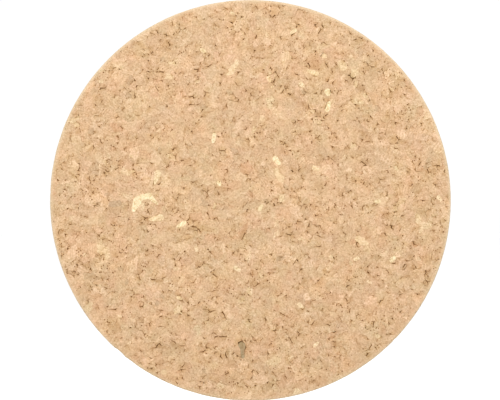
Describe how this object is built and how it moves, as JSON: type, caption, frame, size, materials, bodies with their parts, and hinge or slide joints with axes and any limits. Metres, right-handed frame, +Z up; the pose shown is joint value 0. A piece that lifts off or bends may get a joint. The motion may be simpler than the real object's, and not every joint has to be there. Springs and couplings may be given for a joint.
{
  "type": "cork bulletin board",
  "caption": "Frameless round bulletin board of agglomerated cork with peel-and-stick foam mounting squares on its back.",
  "frame": {"origin": "centre of the wall plane: the outer face of the centre mounting square's release liner, on the disc's axis", "axes": "+Y out of the back into the wall, -Y out of the pinning face towards the reader, +Z up as hung, +X to the right as seen from the front"},
  "size_m": [0.2, 0.0125, 0.2],
  "materials": {
    "cork": "raw sanded agglomerated cork, matt, with fine pits between the granules",
    "foam": "white closed-cell polyethylene foam with a fine matt cell texture",
    "liner": "silicone-coated release paper, satin"
  },
  "bodies": {
    "board": {"cork_disc": "cork", "foam_pad_center": "foam", "foam_pad_top": "foam", "foam_pad_bottom": "foam", "foam_pad_left": "foam", "foam_pad_right": "foam"},
    "liner_center": {"release_liner_center": "liner"},
    "liner_top": {"release_liner_top": "liner"},
    "liner_bottom": {"release_liner_bottom": "liner"},
    "liner_left": {"release_liner_left": "liner"},
    "liner_right": {"release_liner_right": "liner"}
  },
  "joints": [
    {"name": "liner_center_peel", "type": "slide", "parent": "board", "child": "liner_center", "axis": [0, 1, 0], "range_m": [0, 0.03]},
    {"name": "liner_top_peel", "type": "slide", "parent": "board", "child": "liner_top", "axis": [0, 1, 0], "range_m": [0, 0.03]},
    {"name": "liner_bottom_peel", "type": "slide", "parent": "board", "child": "liner_bottom", "axis": [0, 1, 0], "range_m": [0, 0.03]},
    {"name": "liner_left_peel", "type": "slide", "parent": "board", "child": "liner_left", "axis": [0, 1, 0], "range_m": [0, 0.03]},
    {"name": "liner_right_peel", "type": "slide", "parent": "board", "child": "liner_right", "axis": [0, 1, 0], "range_m": [0, 0.03]}
  ]
}
